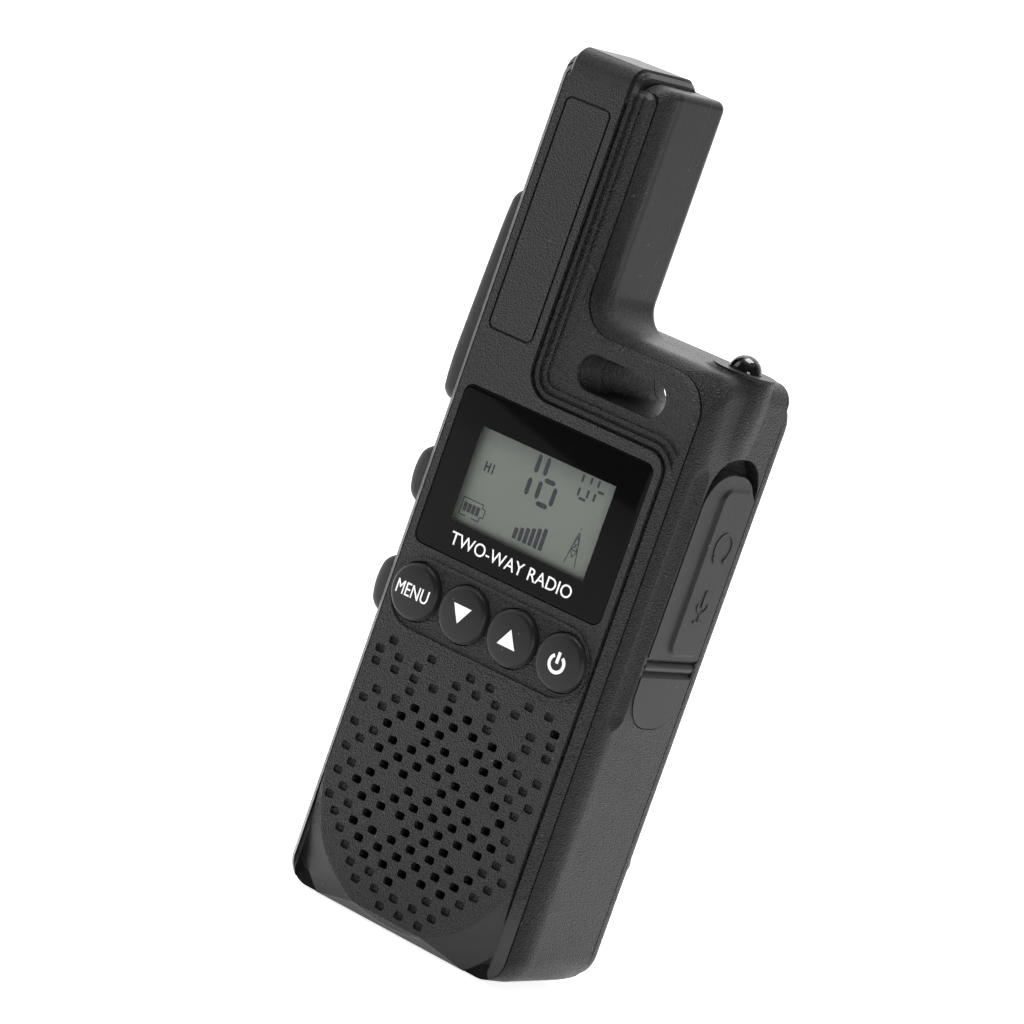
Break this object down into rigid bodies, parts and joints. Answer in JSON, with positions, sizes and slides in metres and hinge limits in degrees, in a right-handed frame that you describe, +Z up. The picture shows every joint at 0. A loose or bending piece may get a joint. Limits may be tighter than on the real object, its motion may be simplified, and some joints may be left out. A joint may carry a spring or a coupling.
{
  "type": "portable two-way radio",
  "caption": "Hand-held two-way radio with side antenna block, display window, round buttons, pierced speaker grille, side keys and a rubber socket cover.",
  "frame": {"origin": "middle of the flat base of the middle housing", "axes": "+Z up along the antenna, -Y out of the display, +X towards the jack cover"},
  "size_m": [0.0482, 0.0261, 0.1321],
  "materials": {
    "textured_case": "fine leather-like moulded grain",
    "case_side": "satin moulded, slightly glossier than the front",
    "window": "polished, printed black round a clear view",
    "lcd": "grey-green reflective LCD",
    "light_guide": "milky white",
    "circuit_board": "green solder resist",
    "tinned_steel": "tinned sheet",
    "switch": "black switch body",
    "dust_cloth": "fine woven mesh",
    "cone": "pressed film",
    "magnet": "plated cup",
    "copper": "enamelled copper wire",
    "clear_lens": "clear moulded dome",
    "battery_wrap": "shrink wrap",
    "contact_metal": "plated spring leaf",
    "soft_rubber": "smooth matt",
    "key_rubber": "smooth matt",
    "button_rubber": "matt with white printed marks",
    "socket": "moulded black",
    "screw": "black plated steel"
  },
  "bodies": {
    "case": {"front_cover": "textured_case", "middle_housing": "case_side", "back_cover": "case_side", "display_window": "window", "light_lens": "clear_lens", "jack_cover_tail": "soft_rubber", "earphone_jack": "socket", "microphone_jack": "socket", "housing_screws": "screw", "lcd_module": "lcd", "lcd_backlight": "light_guide", "main_board": "circuit_board", "rf_shield": "tinned_steel", "keypad_switches": "switch", "speaker_cloth": "dust_cloth", "speaker_frame": "tinned_steel", "speaker_cone": "cone", "speaker_magnet": "magnet", "microphone": "tinned_steel", "antenna_former": "light_guide", "antenna_coil": "copper", "lamp_board": "circuit_board", "battery_pack": "battery_wrap", "battery_contacts": "contact_metal", "side_key_switches": "switch"},
    "ptt_key": {"ptt_key": "key_rubber"},
    "side_key_upper": {"side_key_upper": "key_rubber"},
    "side_key_lower": {"side_key_lower": "key_rubber"},
    "menu_button": {"menu_button": "button_rubber"},
    "down_button": {"down_button": "button_rubber"},
    "up_button": {"up_button": "button_rubber"},
    "power_button": {"power_button": "button_rubber"},
    "jack_cover_flap": {"jack_cover_flap": "soft_rubber"},
    "battery_door": {"battery_door": "case_side"}
  },
  "joints": [
    {"name": "talk_key_press", "type": "slide", "parent": "case", "child": "ptt_key", "axis": [1, 0, 0], "range_m": [0, 0.0008], "stiffness_N_per_m": 900},
    {"name": "side_key_upper_press", "type": "slide", "parent": "case", "child": "side_key_upper", "axis": [1, 0, 0], "range_m": [0, 0.0008], "stiffness_N_per_m": 900},
    {"name": "side_key_lower_press", "type": "slide", "parent": "case", "child": "side_key_lower", "axis": [1, 0, 0], "range_m": [0, 0.0008], "stiffness_N_per_m": 900},
    {"name": "menu_button_press", "type": "slide", "parent": "case", "child": "menu_button", "axis": [0, 1, 0], "range_m": [0, 0.0007], "stiffness_N_per_m": 900},
    {"name": "down_button_press", "type": "slide", "parent": "case", "child": "down_button", "axis": [0, 1, 0], "range_m": [0, 0.0007], "stiffness_N_per_m": 900},
    {"name": "up_button_press", "type": "slide", "parent": "case", "child": "up_button", "axis": [0, 1, 0], "range_m": [0, 0.0007], "stiffness_N_per_m": 900},
    {"name": "power_button_press", "type": "slide", "parent": "case", "child": "power_button", "axis": [0, 1, 0], "range_m": [0, 0.0007], "stiffness_N_per_m": 900},
    {"name": "jack_cover_swing", "type": "hinge", "parent": "case", "child": "jack_cover_flap", "pos_m": [0.02145, 0.0026, 0.0514], "axis": [0, 1, 0], "range_deg": [0, 100], "stiffness_Nm_per_rad": 0.01, "springref_deg": -5.73},
    {"name": "battery_door_slide", "type": "slide", "parent": "case", "child": "battery_door", "axis": [0, 0, -1], "range_m": [0, 0.006]}
  ]
}
